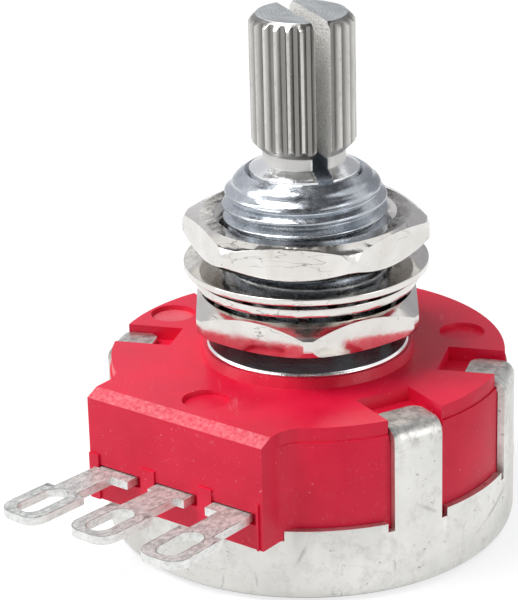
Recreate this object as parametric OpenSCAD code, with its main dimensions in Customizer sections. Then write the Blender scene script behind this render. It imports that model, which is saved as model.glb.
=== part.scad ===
// Rotary potentiometer, panel mounting, 24 mm class, with three solder lugs. Millimetres.
// Z runs along the shaft, the origin is on the shaft axis at the can's back, the lugs point to -Y.

/* [Can] */
// Radial gap between the can's wall and the housing
can_fit = 0.05; // [0.02:0.01:0.3]
// Thickness of the can's sheet
can_t = 0.4; // [0.2:0.05:1]
// Height of the can's rim above its back
can_h = 4.5; // [3:0.1:8]
// Outer radius of the can's lower edge
can_edge_r = 1.0; // [0.5:0.1:2]
// Width of the two tabs on the right
tab_w = 3.1; // [2:0.1:5]
// Width of the two tabs on the left
tab_w_left = 2.3; // [2:0.1:5]
// Gap between a folded tab's end and its notch's inner wall
tab_end_gap = 1.45; // [0.5:0.05:3]
// Corner radius of a tab's end
tab_corner_r = 0.7; // [0.2:0.1:1.4]
// Inner radius of a tab's fold
tab_bend_r = 0.4; // [0.2:0.05:1]
// Angle of the notches either side of the X axis
tab_angle = 22.5; // [15:0.5:40]
// Turn of the tabs in their notches
tab_skew = -0.7; // [-1:0.1:1]
// Width of the relief nick beside a tab
nick_w = 0.4; // [0.2:0.05:1]
// Depth of the relief nick
nick_h = 0.5; // [0.2:0.05:1]
// Half angle of the stop pressed into the can's back
stop_half = 20; // [10:1:30]
// Height of the stop above the back
stop_h = 2.0; // [1:0.1:3]
// Mean radius of the stop
stop_r = 8.9; // [7:0.1:10]
// Width of the stop across its wall
stop_w = 1.7; // [1:0.1:3]

/* [Housing] */
// Diameter of the moulded housing
body_d = 23.3; // [20:0.1:28]
// Height of the housing's face above the can's back
face_z = 10.5; // [8:0.1:14]
// Height of the fine step round the housing below its face
step_z = 9.65; // [9:0.05:10.4]
// Depth of that step
step_in = 0.12; // [0.05:0.01:0.4]
// Thickness of the moulded side wall
wall_t = 1.35; // [1:0.05:2.5]
// Underside of the face plate
ceiling_z = 8.6; // [8:0.1:9.6]
// Width of the ledge that the element board rests on
ledge_w = 1.0; // [0.5:0.1:2]
// Gap beside a tab in its notch
notch_gap = 0.2; // [0.15:0.01:0.6]
// Depth of a notch from the housing's side wall
notch_in = 3.6; // [2:0.05:5]
// Distance from an outer lug to the end of the terminal block
block_margin = 2.1; // [1.6:0.05:4]
// Shift of the terminal block along X
block_x = -0.3; // [-1:0.05:1]
// Reach of the block's front beyond the round body
block_out = 0.6; // [0.3:0.05:4]
// Height of the block's underside
block_z = 3.95; // [3:0.05:5]
// Chamfer of the block's upper front edge, along Y
block_chamfer_y = 0.85; // [0.2:0.05:2]
// Chamfer of the block's upper front edge, along Z
block_chamfer_z = 0.38; // [0.2:0.05:2]
// Fillet between the block and the round wall
block_fillet = 1.8; // [0.5:0.1:3]
// Wall of the terminal block
block_wall = 0.85; // [0.5:0.05:2]
// Diameter of the raised boss round the bushing
boss_d = 12.5; // [11:0.1:16]
// Height of the boss above the face
boss_h = 0.6; // [0.2:0.05:1.5]
// Diameter of the round ejector recesses in the face
mark_d = 2.7; // [1:0.1:4]
// Depth of the ejector recesses
mark_depth = 0.3; // [0.1:0.05:0.5]
// Proud height of the panels between the lugs on the block's front
panel_t = 0.12; // [0.05:0.01:0.3]
// Rise of those panels above the lugs
panel_rise = 0.75; // [0.3:0.05:2]

/* [Bushing] */
// Major diameter of the bushing's thread, 3/8-32
bush_d = 9.525; // [6:0.005:12]
// Height of the bushing's domed end
bush_top = 21.6; // [18:0.1:26]
// Height where the full thread diameter ends
bush_full = 19.75; // [17:0.05:24]
// Diameter of the mouth at the domed end
mouth_d = 6.9; // [6.4:0.1:9]
// Diameter of the flange on the housing's boss
flange_d = 11.8; // [10:0.1:16]
// Height of the flange's upper side
flange_top = 12.4; // [11.5:0.05:14]
// Diameter of the barrel that sits in the housing
barrel_d = 10.4; // [9:0.1:12]
// Rear end of the bushing
bush_rear = 8.2; // [7.8:0.05:8.5]
// Diameter of the staked lip under the face plate
lip_d = 11.6; // [11:0.1:14]
// Radial running clearance between shaft and bushing
running_gap = 0.03; // [0.01:0.01:0.1]

/* [Nuts and washers] */
// Width across flats of both nuts, 1/2 inch
nut_af = 12.7; // [10:0.05:16]
// Thickness of a nut
nut_h = 2.05; // [1.5:0.05:4]
// Diameter over the nut's rounded corners
nut_corner_d = 14.36; // [13:0.02:14.6]
// Diameter of the flat circle inside the chamfer
nut_flat_d = 12.4; // [10:0.1:12.7]
// Slope of the chamfer
nut_slope = 35; // [20:1:50]
// Diameter of the flat circle on the nut's other face
nut_dome_d = 12.2; // [10:0.1:12.7]
// Diameter where that face breaks down to the corners
nut_break_d = 14.0; // [12:0.05:14.2]
// Drop of that face at the break
nut_break_h = 0.3; // [0.1:0.02:0.8]
// Slope of the break at the corners
nut_break_slope = 64; // [30:1:80]
// Widening of a nut's bore at its faces
nut_sink = 0.5; // [0.1:0.05:1]
// Turn of the lower nut about the shaft
lower_nut_turn = -53; // [-90:1:90]
// Turn of the upper nut about the shaft
upper_nut_turn = -92; // [-120:1:90]
// Height of the upper nut's lower face
upper_nut_z = 16.95; // [15:0.05:19]
// Outer diameter of the flat washer
washer_d = 14.2; // [12:0.1:18]
// Thickness of the flat washer
washer_t = 0.4; // [0.2:0.05:1]
// Outer diameter of the toothed lock washer
lock_d = 12.9; // [11:0.1:16]
// Thickness of the lock washer's rim
lock_t = 0.48; // [0.2:0.02:1]
// Height of the lock washer over its twisted teeth
lock_h = 1.4; // [0.5:0.05:2]
// Number of teeth in the lock washer
lock_teeth = 12; // [6:1:20]
// Radial clearance of the washers round the thread
washer_gap = 0.12; // [0.05:0.01:0.4]

/* [Shaft] */
// Height of the shaft's end
shaft_top = 30.75; // [25:0.05:40]
// Diameter over the splines
spline_d = 6.0; // [5:0.05:7]
// Depth of a spline groove
spline_depth = 0.28; // [0.1:0.01:0.5]
// Number of splines
splines = 24; // [12:1:40]
// Lower end of the splined length
spline_low = 22.8; // [20:0.05:26]
// Chamfer at the shaft's end
end_chamfer = 0.42; // [0.1:0.02:1]
// Diameter of the neck under the splines
neck_d = 4.76; // [4:0.02:5.5]
// Lower end of the neck, where the cone starts
neck_low = 22.15; // [20:0.05:24]
// Diameter of the journal in the bushing
journal_d = 6.35; // [6:0.01:6.4]
// Height where the cone meets the journal
cone_low = 21.72; // [20:0.02:23]
// Width of the slot that splits the shaft's end
slot_w = 0.92; // [0.5:0.02:2]
// Bottom of the slot
slot_z = 21.8; // [21:0.05:26]
// Direction of the slot
slot_angle = -31; // [-90:1:90]
// Diameter of the rear section that carries the rotor
tail_d = 4.8; // [4:0.1:6]
// Distance across the flats of the rear section
tail_flat = 3.8; // [3:0.1:4.6]
// Diameter of the riveted head at the shaft's rear end
head_d = 5.4; // [5:0.1:7]
// Thickness of the riveted head
head_t = 0.35; // [0.2:0.05:1]

/* [Rotor] */
// Diameter of the rotor's disc
rotor_d = 16.4; // [12:0.1:18]
// Lower side of the rotor's disc
rotor_z = 2.45; // [2.2:0.05:3.5]
// Thickness of the rotor's disc
rotor_t = 1.4; // [0.8:0.1:2]
// Diameter of the rotor's hub
hub_d = 7.8; // [7:0.1:9]
// Lower end of the hub
hub_z = 1.3; // [1:0.05:2]
// Upper end of the hub, where the shaft's shoulder sits
hub_top = 5.4; // [4:0.1:5.6]
// Half angle of the rotor's stop lug
lug_half = 8; // [4:1:15]
// Thickness of the wiper's spring sheet
wiper_t = 0.15; // [0.1:0.01:0.3]
// Width of one wiper finger
finger_w = 0.75; // [0.4:0.05:1.5]
// Gap left between a wiper contact and its track
contact_gap = 0.04; // [0.01:0.01:0.3]

/* [Element and terminals] */
// Underside of the element board, which carries the tracks
board_z = 6.0; // [5:0.05:7]
// Thickness of the element board
board_t = 1.0; // [0.6:0.05:1.6]
// Diameter of the hole in the board
board_hole = 9.6; // [8:0.1:11]
// Thickness of the printed tracks
track_t = 0.05; // [0.02:0.01:0.1]
// Mean radius of the resistive track
track_r = 7.7; // [6:0.1:9]
// Width of the resistive track
track_w = 1.5; // [0.8:0.1:2.5]
// Mean radius of the collector ring
collector_r = 5.75; // [5:0.05:6.5]
// Width of the collector ring
collector_w = 1.1; // [0.5:0.1:1.5]
// Half angle of the gap in the resistive track
track_gap = 30; // [20:1:45]
// Pitch of the lugs
lug_pitch = 4.1; // [3:0.1:6]
// Centre of the middle lug along X
lug_x = -0.35; // [-1:0.02:1]
// Thickness of a lug
lug_t = 0.5; // [0.3:0.05:1]
// Reach of a lug beyond the block's front
lug_reach = 7.35; // [4:0.05:12]
// Turn of each lug's strip, from left to right
lug_turn = [-4.4, -1.4, 0.9]; // [-8:0.1:8]
// Sideways shift of each strip on its shoulders
lug_shift = [-0.72, -0.1, 0.5]; // [-0.8:0.01:0.8]
// Upward bend of each lug
lug_rise = [0, 2.5, 2]; // [0:0.5:8]
// Width of a lug's eye end
eye_w = 2.95; // [2:0.05:4]
// Corner radius of the eye end
eye_corner = 1.05; // [0.3:0.05:1.4]
// Width of a lug's shoulders at the block
shoulder_w = 2.6; // [2:0.05:4]
// Reach of the shoulders from the block's front
shoulder_out = 0.75; // [0.4:0.05:1.5]
// Width of a lug's strip between shoulders and eye
strip_w = 1.8; // [1:0.05:3]
// Distance from the block's front to the start of the eye end
eye_start = 3.4; // [2:0.1:5]
// Width of the slotted eye
eye_hole_w = 1.45; // [0.8:0.05:2]
// Length of the slotted eye
eye_hole_l = 3.25; // [1:0.05:4]
// Metal left beyond the slotted eye
eye_tip = 0.55; // [0.4:0.05:1.5]
// Distance from a lug's rivet to the block's front
rivet_in = 2.0; // [1.5:0.1:3]
// Diameter of a terminal rivet's shank
rivet_d = 1.0; // [0.6:0.1:1.6]
// Diameter of a terminal rivet's head
rivet_head_d = 1.9; // [1.2:0.1:2.6]
// Thickness of a terminal rivet's head
rivet_head_t = 0.25; // [0.1:0.05:0.5]

/* [Retaining parts] */
// Thickness of the retaining ring
ring_t = 0.5; // [0.3:0.05:1]
// Outer diameter of the retaining ring
ring_d = 8.6; // [7.5:0.1:9.2]
// Diameter of the groove in the shaft
groove_d = 5.0; // [4.5:0.1:5.8]
// Thickness of the thrust washer
thrust_t = 0.3; // [0.2:0.05:0.6]
// End play of the shaft
end_play = 0.05; // [0.02:0.01:0.2]

/* [Hidden] */
$fn = 96;
body_r = body_d / 2;
can_in = body_r + can_fit;
can_r = can_in + can_t;
notch_r = body_r - notch_in;
tab_end_r = notch_r + tab_end_gap;
ledge_r = body_r - wall_t - ledge_w;
block_w = 2 * (lug_pitch + block_margin);
block_y = body_r + block_out;
rivet_y = block_y - rivet_in;
board_r = body_r - wall_t - 0.05;
fillet_sink = 0.04;
flat_z = face_z + boss_h;
block_l = block_x - block_w / 2;
lower_nut_z = flange_top;
lock_z = lower_nut_z + nut_h;
washer_z = lock_z + lock_h;
washer_id = bush_d + 2 * washer_gap;
tab_top = step_z + can_t;
thrust_z = bush_rear - end_play - thrust_t;
ring_z = thrust_z - ring_t;
track_z = board_z - track_t;
// Angle and width of each tab, on the right and then on the left.
tabs = [[tab_angle, tab_w], [-tab_angle, tab_w], [180 - tab_angle, tab_w_left], [180 + tab_angle, tab_w_left]];
mark_at = [[-0.2, -9.35], [6.1, 7.15], [-10.0, -0.25]];

module tube(outer, inner, height) {
  difference() {
    cylinder(d = outer, h = height);
    translate([0, 0, -1]) cylinder(d = inner, h = height + 2);
  }
}

module sector(r_in, r_out, height, half) {
  rotate([0, 0, 90 - half]) rotate_extrude(angle = 2 * half)
    translate([r_in, 0]) square([r_out - r_in, height]);
}

// Cup profile from the axis to the rim, with a rounded lower edge.
module can_profile() {
  in_r = can_edge_r - can_t;
  difference() {
    union() {
      square([can_r - can_edge_r, can_h]);
      translate([0, can_edge_r]) square([can_r, can_h - can_edge_r]);
      translate([can_r - can_edge_r, can_edge_r]) circle(r = can_edge_r, $fn = 48);
    }
    translate([-1, can_t]) square([can_in - in_r + 1, can_h]);
    translate([-1, can_edge_r]) square([can_in + 1, can_h]);
    translate([can_in - in_r, can_edge_r]) circle(r = in_r, $fn = 48);
    translate([-5, -1]) square([5, can_h + 2]);
  }
}

// A tab's profile: up the can's side and folded over the housing.
module tab_profile() {
  bend = tab_bend_r + can_t;
  translate([can_in, can_h - 1]) square([can_t, tab_top - bend - can_h + 1]);
  translate([tab_end_r - 1, step_z]) square([can_r - bend - tab_end_r + 1, can_t]);
  translate([can_r - bend, tab_top - bend]) intersection() {
    difference() {
      circle(r = bend, $fn = 48);
      circle(r = tab_bend_r, $fn = 48);
    }
    square([bend + 1, bend + 1]);
  }
}

// A strip that starts with two rounded corners and runs along X.
module rounded_strip(start, length, width, corner) {
  for (s = [-1, 1]) translate([start + corner, s * (width / 2 - corner)]) circle(r = corner, $fn = 48);
  translate([start, -width / 2 + corner]) square([corner * 2, width - 2 * corner]);
  translate([start + corner, -width / 2]) square([length - corner, width]);
}

module metal_can() {
  color("#dedcd6") {
    difference() {
      union() {
        rotate_extrude() can_profile();
        intersection() {
          rotate_extrude() tab_profile();
          for (t = tabs) rotate([0, 0, t[0] + tab_skew]) linear_extrude(face_z)
            rounded_strip(tab_end_r, 5, t[1], tab_corner_r);
        }
        rotate([0, 0, 180]) sector(stop_r - stop_w / 2, stop_r + stop_w / 2, stop_h, stop_half);
      }
      for (t = tabs) rotate([0, 0, t[0] + tab_skew]) for (s = [-1, 1])
        translate([can_in - 1, s * (t[1] + nick_w) / 2 - nick_w / 2, can_h - nick_h]) cube([3, nick_w, nick_h + 1]);
      translate([block_l - 0.1, -can_r - 1, block_z - 0.05]) cube([block_w + 0.2, can_r, 2]);
      translate([0, 0, -1]) rotate([0, 0, 180])
        sector(stop_r - stop_w / 2 + can_t, stop_r + stop_w / 2 - can_t, stop_h + 1 - can_t, stop_half - 2.5);
    }
  }
}

// Plan of the housing: the round body with the terminal block and its concave fillets.
module body_plan(r) {
  circle(r = r, $fn = 160);
  polygon(concat([[block_l, -block_y], [block_l + block_w, -block_y]], fillet_arc(r, 1), fillet_arc(r, -1)));
}

// Points of the fillet on one side, from the block to just inside the round body.
function fillet_arc(r, s, steps = 10) =
  let (side = block_x + s * block_w / 2, cx = side + s * block_fillet,
    cy = -sqrt(pow(r - fillet_sink + block_fillet, 2) - cx * cx),
    stop = atan2(-cy, -cx), start = s > 0 ? 180 : 0, sweep = stop - start,
    arc = [for (i = [0:steps]) let (a = start + sweep * i / steps) [cx + block_fillet * cos(a), cy + block_fillet * sin(a)]],
    end = arc[steps] * 0.97, path = concat(arc, [end]))
  s > 0 ? path : [for (i = [len(path) - 1:-1:0]) path[i]];

module block_chamfer() {
  top = face_z - block_chamfer_z;
  translate([block_l - 1, 0, 0]) rotate([90, 0, 90]) linear_extrude(block_w + 2)
    polygon([[-block_y - 1, top], [-block_y, top], [-block_y + block_chamfer_y, face_z], [-block_y + block_chamfer_y, face_z + 1], [-block_y - 1, face_z + 1]]);
}

module housing() {
  color("#d8232f") {
    difference() {
      union() {
        translate([0, 0, can_t]) cylinder(r = body_r, h = block_z - can_t, $fn = 160);
        translate([0, 0, block_z]) linear_extrude(step_z - block_z) body_plan(body_r);
        translate([0, 0, step_z]) linear_extrude(face_z - step_z) body_plan(body_r - step_in);
        translate([0, 0, face_z]) cylinder(d1 = boss_d, d2 = boss_d - 0.3, h = boss_h);
        for (i = [0:3]) panel(i);
      }
      block_chamfer();
      cylinder(r = body_r - wall_t, h = board_z + board_t);
      cylinder(r = ledge_r, h = ceiling_z);
      translate([0, 0, -1]) cylinder(d = barrel_d, h = face_z + boss_h + 2);
      translate([block_l + block_wall, -block_y + block_wall, -1]) cube([block_w - 2 * block_wall, 8, board_z + board_t + 1]);
      translate([block_l + block_wall + 0.2, -block_y + block_wall + 0.2, 0])
        cube([block_w - 2 * block_wall - 0.4, 6, board_z + board_t + rivet_head_t + 0.3]);
      for (i = [-1:1]) translate([lug_x + i * lug_pitch, 0, 0]) lug_slot();
      for (t = tabs) rotate([0, 0, t[0]]) notch(t[1] + 2 * notch_gap);
      for (p = mark_at) translate([p[0], p[1], face_z - mark_depth]) cylinder(d = mark_d, h = 1);
      edge_relief();
    }
  }
}

module notch(w) {
  translate([notch_r, -w / 2, step_z]) cube([6, w, 3]);
  translate([body_r, 0, step_z]) rotate([0, 45, 0]) cube([0.7, w, 0.7], center = true);
}

// Leaves room for the can's rounded inner edge.
module edge_relief() {
  c = can_edge_r;
  rotate_extrude() translate([body_r - c + 0.3, can_t - 0.01]) polygon([[0, 0], [c, 0], [c, c]]);
}

module panel(i) {
  left = [block_l, lug_x - lug_pitch + shoulder_w / 2, lug_x + shoulder_w / 2, lug_x + lug_pitch + shoulder_w / 2][i];
  right = [lug_x - lug_pitch - shoulder_w / 2, lug_x - shoulder_w / 2, lug_x + lug_pitch - shoulder_w / 2, block_l + block_w][i];
  ends = [[0, 0.05], [0.45, 0.05], [0.45, 0.05], [0.45, 0.25]][i];
  translate([left + ends[0], -block_y - panel_t, block_z])
    cube([right - left - ends[0] - ends[1], panel_t + 0.1, board_z + panel_rise - block_z]);
}

module lug_slot() {
  translate([-strip_w / 2 - 0.05, -block_y - 0.2, board_z - lug_t - 0.05]) cube([strip_w + 0.1, 2, lug_t + 0.1]);
  translate([-shoulder_w / 2 - 0.05, -block_y - 0.3, board_z - lug_t - 0.1]) cube([shoulder_w + 0.4, 0.6, lug_t + 0.2]);
}

module threaded_bushing() {
  mouth = mouth_d / 2;
  r = bush_d / 2;
  top = bush_top;
  drop = top - bush_full;
  color("#9aa3ad") rotate_extrude() difference() {
    polygon([[0, bush_rear], [lip_d / 2, bush_rear], [lip_d / 2, ceiling_z], [barrel_d / 2, ceiling_z],
      [barrel_d / 2, flat_z], [flange_d / 2, flat_z], [flange_d / 2, flange_top], [r, flange_top],
      [r, bush_full], [r - 0.06 * drop, top - 0.68 * drop], [r - 0.28 * drop, top - 0.35 * drop],
      [r - 0.5 * drop, top - 0.14 * drop], [mouth, top], [0, top]]);
    translate([0, bush_rear - 1]) square([journal_d / 2 + running_gap, top]);
    translate([0, cone_low]) square([mouth, 5]);
    translate([0, cone_low - 0.35]) polygon([[0, 0], [journal_d / 2 + running_gap, 0], [mouth, 0.36], [0, 0.36]]);
  }
}

// A hexagon nut, its bore on the thread's major diameter: chamfered below, its corners broken above.
module nut() {
  corner = nut_corner_d / 2;
  edge = nut_break_d / 2;
  low = (corner - nut_flat_d / 2) * tan(nut_slope);
  high = nut_break_h + (corner - edge) * tan(nut_break_slope);
  difference() {
    intersection() {
      cylinder(d = nut_af * 2 / sqrt(3), h = nut_h, $fn = 6);
      rotate_extrude() polygon([[0, 0], [nut_flat_d / 2, 0], [corner, low], [corner, nut_h - high],
        [edge, nut_h - nut_break_h], [nut_dome_d / 2, nut_h], [0, nut_h]]);
    }
    translate([0, 0, -1]) cylinder(d = bush_d, h = nut_h + 2);
    translate([0, 0, nut_h - nut_sink]) cylinder(d1 = bush_d, d2 = bush_d + 2 * nut_sink, h = nut_sink + 0.001);
    translate([0, 0, -0.001]) cylinder(d1 = bush_d + nut_sink, d2 = bush_d, h = nut_sink / 2);
  }
}

// This nut stands on its broken face.
module lower_nut() {
  color("#c9c7c2") translate([0, 0, lower_nut_z + nut_h]) rotate([180, 0, -lower_nut_turn]) nut();
}

module upper_nut() {
  color("#c9c7c2") translate([0, 0, upper_nut_z]) rotate([0, 0, upper_nut_turn]) nut();
}

module flat_washer() {
  color("#b9b7b2") translate([0, 0, washer_z]) tube(washer_d, washer_id, washer_t);
}

// The twisted teeth stand from the lower nut up to the flat washer and carry the rim between them.
module lock_washer() {
  in_r = washer_id / 2;
  root_r = in_r + 0.75;
  twist = 40;
  color("#b4b2ad") translate([0, 0, lock_z]) {
    translate([0, 0, (lock_h - lock_t) / 2]) tube(lock_d, 2 * root_r, lock_t);
    intersection() {
      for (i = [0:lock_teeth - 1]) rotate([0, 0, i * 360 / lock_teeth])
        translate([root_r - 0.25, 0, lock_h / 2]) rotate([twist, 0, 0]) cube([1.1, 0.45, 3], center = true);
      tube(2 * root_r + 0.4, 2 * in_r, lock_h);
    }
  }
}

// The grooves between the splines, one of them on the slot's line.
module groove_plan() {
  half = PI * spline_d / splines / 2;
  floor_r = spline_d / 2 - spline_depth;
  for (i = [0:splines - 1]) rotate([0, 0, i * 360 / splines])
    polygon([[floor_r, -half * 0.3], [floor_r, half * 0.3], [floor_r + 2 * spline_depth, half * 1.34],
      [floor_r + 2 * spline_depth, -half * 1.34]]);
}

module splined_shaft() {
  r = spline_d / 2;
  neck = neck_d / 2;
  journal = journal_d / 2;
  color("#b9b6b0") difference() {
    union() {
      rotate_extrude() polygon([[0, hub_top], [journal, hub_top], [journal, ring_z], [groove_d / 2, ring_z],
        [groove_d / 2, thrust_z], [journal, thrust_z], [journal, cone_low], [neck, neck_low], [neck, spline_low],
        [r, spline_low + r - neck], [r, shaft_top - end_chamfer], [r - end_chamfer, shaft_top], [0, shaft_top]]);
      translate([0, 0, hub_z]) tail(hub_top - hub_z);
      translate([0, 0, hub_z - head_t]) cylinder(d1 = head_d - 0.8, d2 = head_d, h = head_t);
    }
    translate([0, 0, spline_low]) rotate([0, 0, slot_angle]) linear_extrude(shaft_top - spline_low + 1) groove_plan();
    rotate([0, 0, slot_angle]) translate([-5, -slot_w / 2, slot_z]) cube([10, slot_w, 20]);
  }
}

module tail(h) {
  intersection() {
    cylinder(d = tail_d, h = h);
    translate([0, 0, h / 2]) cube([tail_flat, 10, h], center = true);
  }
}

module retaining_ring() {
  color("#6f7276") translate([0, 0, ring_z]) difference() {
    tube(ring_d, groove_d, ring_t);
    translate([0, -1.6, -1]) cube([10, 3.2, 3]);
  }
}

module thrust_washer() {
  color("#c8a45a") translate([0, 0, thrust_z]) tube(ring_d + 0.4, journal_d + 0.1, thrust_t);
}

module rotor() {
  color("#e8e2cf") difference() {
    union() {
      translate([0, 0, rotor_z]) cylinder(d = rotor_d, h = rotor_t);
      translate([0, 0, hub_z]) cylinder(d = hub_d, h = hub_top - hub_z);
      translate([0, 0, hub_z]) sector(stop_r - stop_w / 2 - 1.2, stop_r + stop_w / 2 - 0.2, rotor_z + rotor_t - hub_z, lug_half);
    }
    translate([0, 0, hub_z - 1]) tail(hub_top);
  }
}

// The spring lies on the rotor and its three fingers rise to the tracks on the +Y side.
module wiper() {
  base = rotor_z + rotor_t;
  rise = track_z - contact_gap - base;
  run = 3.6;
  start = 0.3;
  tilt = atan((rise - wiper_t) / run);
  root = 24;
  color("#d4a24c") {
    translate([0, 0, base]) sector(hub_d / 2 + 0.1, rotor_d / 2 - 0.3, wiper_t, 42);
    for (r = [track_r - 0.4, track_r + 0.4, collector_r])
      rotate([0, 0, 90 - root]) translate([sqrt(r * r - pow(run - start, 2)), -start, base]) finger(run, tilt, rise);
  }
}

module finger(run, tilt, rise) {
  translate([0, 0, wiper_t / 2]) rotate([tilt, 0, 0]) translate([-finger_w / 2, 0, -wiper_t / 2])
    cube([finger_w, run / cos(tilt), wiper_t]);
  translate([-finger_w / 2, run, rise - 0.22]) rotate([0, 90, 0]) cylinder(r = 0.22, h = finger_w, $fn = 24);
}

module element_board() {
  color("#8a5a32") difference() {
    union() {
      translate([0, 0, board_z]) cylinder(r = board_r, h = board_t);
      translate([block_l + block_wall + 0.05, -block_y + block_wall + 0.05, board_z]) cube([block_w - 2 * block_wall - 0.1, 7, board_t]);
    }
    translate([0, 0, board_z - 1]) cylinder(d = board_hole, h = board_t + 2);
    for (i = [-1:1]) translate([lug_x + i * lug_pitch, -rivet_y, board_z - 1]) cylinder(d = rivet_d, h = 4);
  }
}

module resistive_track() {
  color("#22201f") translate([0, 0, track_z])
    sector(track_r - track_w / 2, track_r + track_w / 2, track_t, 180 - track_gap);
}

// Silver pads join the two ends of the track to the outer terminals.
module track_end_pads() {
  color("#c7c9cc") translate([0, 0, track_z]) for (s = [-1, 1])
    rotate([0, 0, s * (180 - track_gap + 6)]) sector(track_r - track_w / 2 - 0.1, track_r + track_w / 2 + 0.1, track_t, 5.9);
}

module collector_ring() {
  color("#d5d7da") translate([0, 0, track_z])
    tube(2 * collector_r + collector_w, 2 * collector_r - collector_w, track_t);
}

// Plan of a lug's inner end, riveted to the board, with the shoulders in front of the block.
module lug_root() {
  difference() {
    union() {
      translate([-strip_w / 2, -block_y - shoulder_out / 2]) square([strip_w, shoulder_out / 2 + rivet_in]);
      translate([0, -rivet_y]) circle(d = strip_w, $fn = 48);
      translate([-shoulder_w / 2, -block_y - shoulder_out]) square([shoulder_w, shoulder_out + 0.2]);
    }
    translate([0, -rivet_y]) circle(d = rivet_d, $fn = 48);
  }
}

// Plan of the strip and its slotted eye, from the middle of the shoulders.
module lug_eye() {
  start = -shoulder_out / 2;
  first = eye_tip + eye_hole_w / 2;
  last = eye_tip + eye_hole_l - eye_hole_w / 2;
  difference() {
    union() {
      translate([-strip_w / 2, -eye_start - 0.5]) square([strip_w, eye_start + 0.7 + start]);
      rotate([0, 0, 90]) rounded_strip(-lug_reach, lug_reach - eye_start, eye_w, eye_corner);
    }
    for (y = [first, last]) translate([0, y - lug_reach]) circle(d = eye_hole_w, $fn = 48);
    translate([-eye_hole_w / 2, first - lug_reach]) square([eye_hole_w, last - first]);
  }
}

// The strip is bent sideways and upward about the middle of the shoulders.
module terminal(i) {
  pivot = shoulder_out / 2;
  color("#c4c1ba") translate([lug_x + i * lug_pitch, 0, board_z - lug_t]) {
    linear_extrude(lug_t) lug_root();
    translate([lug_shift[i + 1], -block_y - pivot, lug_t / 2]) rotate([-lug_rise[i + 1], 0, lug_turn[i + 1]])
      translate([0, pivot, -lug_t / 2]) linear_extrude(lug_t) lug_eye();
  }
}

module terminal_left() { terminal(-1); }

module terminal_middle() { terminal(0); }

module terminal_right() { terminal(1); }

module terminal_rivets() {
  low = board_z - lug_t;
  color("#b08d57") for (i = [-1:1]) translate([lug_x + i * lug_pitch, -rivet_y, 0]) {
    translate([0, 0, low - rivet_head_t]) cylinder(d = rivet_head_d - 0.2, h = rivet_head_t);
    translate([0, 0, low - 0.1]) cylinder(d = rivet_d, h = board_t + lug_t + 0.2);
    translate([0, 0, board_z + board_t]) cylinder(d = rivet_head_d, h = rivet_head_t);
  }
}

metal_can();
housing();
threaded_bushing();
lower_nut();
lock_washer();
flat_washer();
upper_nut();
splined_shaft();
retaining_ring();
thrust_washer();
rotor();
wiper();
element_board();
resistive_track();
track_end_pads();
collector_ring();
terminal_left();
terminal_middle();
terminal_right();
terminal_rivets();
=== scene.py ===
"""Looks of a panel potentiometer: materials, the bushing's thread, the lower nut, studio and camera.

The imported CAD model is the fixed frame. Lengths are in metres; MM turns the part's millimetres into them.
"""
import math

import bmesh
import bpy
from mathutils import Matrix, Vector


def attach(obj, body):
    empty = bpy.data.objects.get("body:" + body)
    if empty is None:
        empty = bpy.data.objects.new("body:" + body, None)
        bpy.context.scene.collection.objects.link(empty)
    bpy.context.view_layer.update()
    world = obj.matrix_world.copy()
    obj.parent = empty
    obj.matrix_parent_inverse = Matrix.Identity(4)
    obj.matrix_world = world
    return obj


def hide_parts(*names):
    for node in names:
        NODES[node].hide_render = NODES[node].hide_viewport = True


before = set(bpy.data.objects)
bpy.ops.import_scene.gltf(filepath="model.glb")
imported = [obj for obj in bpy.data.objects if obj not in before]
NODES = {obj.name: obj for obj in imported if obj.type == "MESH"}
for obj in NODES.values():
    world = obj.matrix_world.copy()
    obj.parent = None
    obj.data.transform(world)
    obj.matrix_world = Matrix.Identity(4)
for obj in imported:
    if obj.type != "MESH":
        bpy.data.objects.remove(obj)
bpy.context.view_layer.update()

MM = 0.001

# Sizes repeated from the part's source, in millimetres, with angles in radians.
THREAD_R = 4.7625
THREAD_PITCH = 0.794
THREAD_DEPTH = 0.46
FULL_Z = 19.75
DOME_TOP = 21.6
MOUTH_R = 3.45
BORE_R = 3.205
CONE_Z = 21.72
FLANGE_R = 5.9
FLANGE_LOW = 11.1
FLANGE_TOP = 12.4
BARREL_R = 5.2
LIP_R = 5.8
CEILING_Z = 8.6
REAR_Z = 8.2
SLOT_ANGLE = math.radians(-31)
SLOT_W = 0.92
SHAFT_TOP = 30.75
NECK_LOW = 22.15
NECK_R = 2.38
SPLINE_LOW = 22.8

# The three lugs, from left to right: each is shifted, bent up and turned about a pivot in its shoulders.
# Rise and turn are in degrees.
LUG_X = -0.35
LUG_PITCH = 4.1
LUG_PIVOT_Y = -12.625
LUG_MID_Z = 5.75
LUG_SHIFT = (-0.72, -0.1, 0.5)
LUG_RISE = (0.0, 2.5, 2.0)
LUG_TURN = (-4.4, -1.4, 0.9)
# Plan of a lug from its pivot: the strip, the eye's ends in Y, and the centres of the hole's round ends.
STRIP_W = 1.8
EYE = (-6.975, -3.025)
EYE_W = 2.95
EYE_CORNER = 1.05
EYE_HOLE = (-5.70, -3.90)
EYE_HOLE_R = 0.725

# The nut, which stands on the face with broken corners; its chamfered face is up.
NUT_FLATS = 12.7
NUT_CORNER_R = 7.18
NUT_H = 2.05
NUT_FLAT_R = 6.2
NUT_SLOPE = math.radians(35)
NUT_DOME_R = 6.1
NUT_BREAK_R = 7.0
NUT_BREAK_H = 0.3
NUT_BREAK_SLOPE = math.radians(64)
NUT_SINK = 0.5
LOWER_NUT_Z = 12.4
LOWER_NUT_TURN = math.radians(-53)

# The bushing's dome, in shares of the dome's height: down from its top, and inward from the thread.
DOME_POINTS = ((0.68, 0.06), (0.35, 0.28), (0.14, 0.5))
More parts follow.
